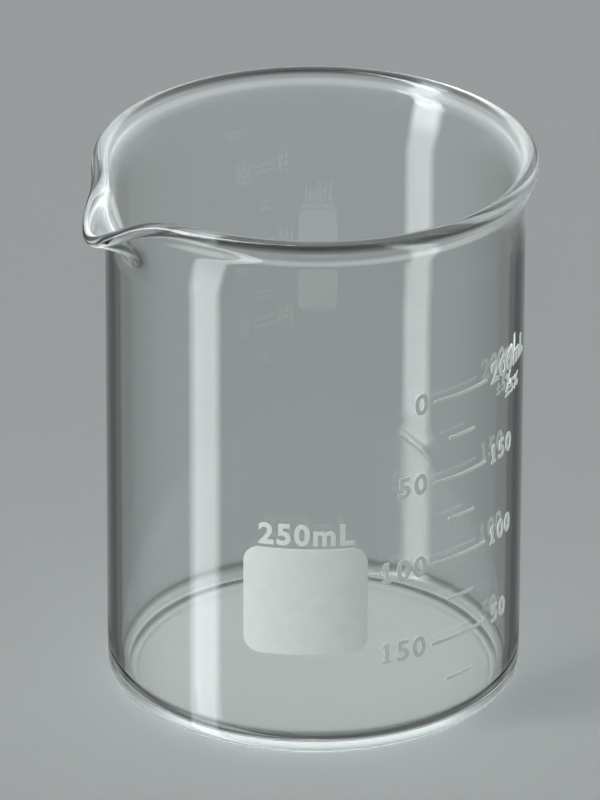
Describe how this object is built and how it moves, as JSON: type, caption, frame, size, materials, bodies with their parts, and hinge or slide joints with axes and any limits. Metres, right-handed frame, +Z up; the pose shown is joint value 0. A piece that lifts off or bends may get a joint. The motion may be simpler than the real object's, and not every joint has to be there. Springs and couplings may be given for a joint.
{
  "type": "beaker",
  "caption": "Low-form laboratory beaker of clear glass with a flared bead rim and a pouring spout, and a white enamel marking spot and volume scale on its wall.",
  "frame": {"origin": "the middle of the flat base, on the table", "axes": "+Z up along the axis of the wall, -Y out through the front where the marking spot is, +X towards the volume scale on the right"},
  "size_m": [0.0753, 0.0742, 0.095],
  "materials": {
    "clear_glass": "fire-polished borosilicate glass, clear with a faint grey-green edge",
    "white_enamel": "fired white ceramic enamel, satin"
  },
  "bodies": {
    "root": {"vessel": "clear_glass", "marking_spot": "white_enamel", "graduation_25": "white_enamel", "graduation_50": "white_enamel", "graduation_75": "white_enamel", "graduation_100": "white_enamel", "graduation_125": "white_enamel", "graduation_150": "white_enamel", "graduation_175": "white_enamel", "graduation_200": "white_enamel"}
  },
  "joints": []
}
